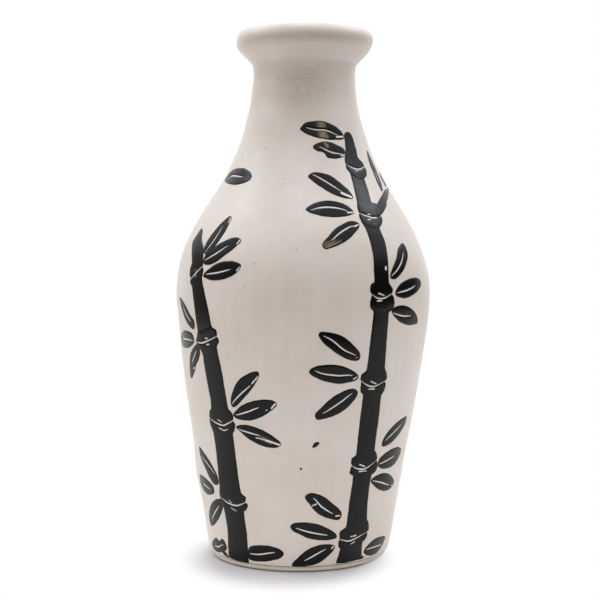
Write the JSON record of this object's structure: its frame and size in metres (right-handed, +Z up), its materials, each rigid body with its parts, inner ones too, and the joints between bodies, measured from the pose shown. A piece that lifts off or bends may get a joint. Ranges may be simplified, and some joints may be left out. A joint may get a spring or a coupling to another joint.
{
  "type": "bottle vase",
  "caption": "Hand-built earthenware bottle vase with a rolled lip, painted off-white, with bamboo canes in raised black slip.",
  "frame": {"origin": "centre of the foot's flat underside", "axes": "+Z up along the vase's axis, -Y towards the front of the pictured side, +X to its right"},
  "size_m": [0.1934, 0.1934, 0.4],
  "materials": {
    "white_clay": "satin off-white paint on fired earthenware",
    "foot_clay": "off-white paint, rubbed thin on the foot's edge",
    "black_slip": "satin black slip, brushed on thickly"
  },
  "bodies": {
    "root": {"foot_slab": "foot_clay", "lower_wall": "white_clay", "shoulder_wall": "white_clay", "neck_collar": "white_clay", "rim_roll": "white_clay", "front_left_culm": "black_slip", "front_left_leaves": "black_slip", "front_right_culm": "black_slip", "front_right_leaves": "black_slip", "back_left_culm": "black_slip", "back_left_leaves": "black_slip", "back_right_culm": "black_slip", "back_right_leaves": "black_slip", "slip_flecks": "black_slip"}
  },
  "joints": []
}
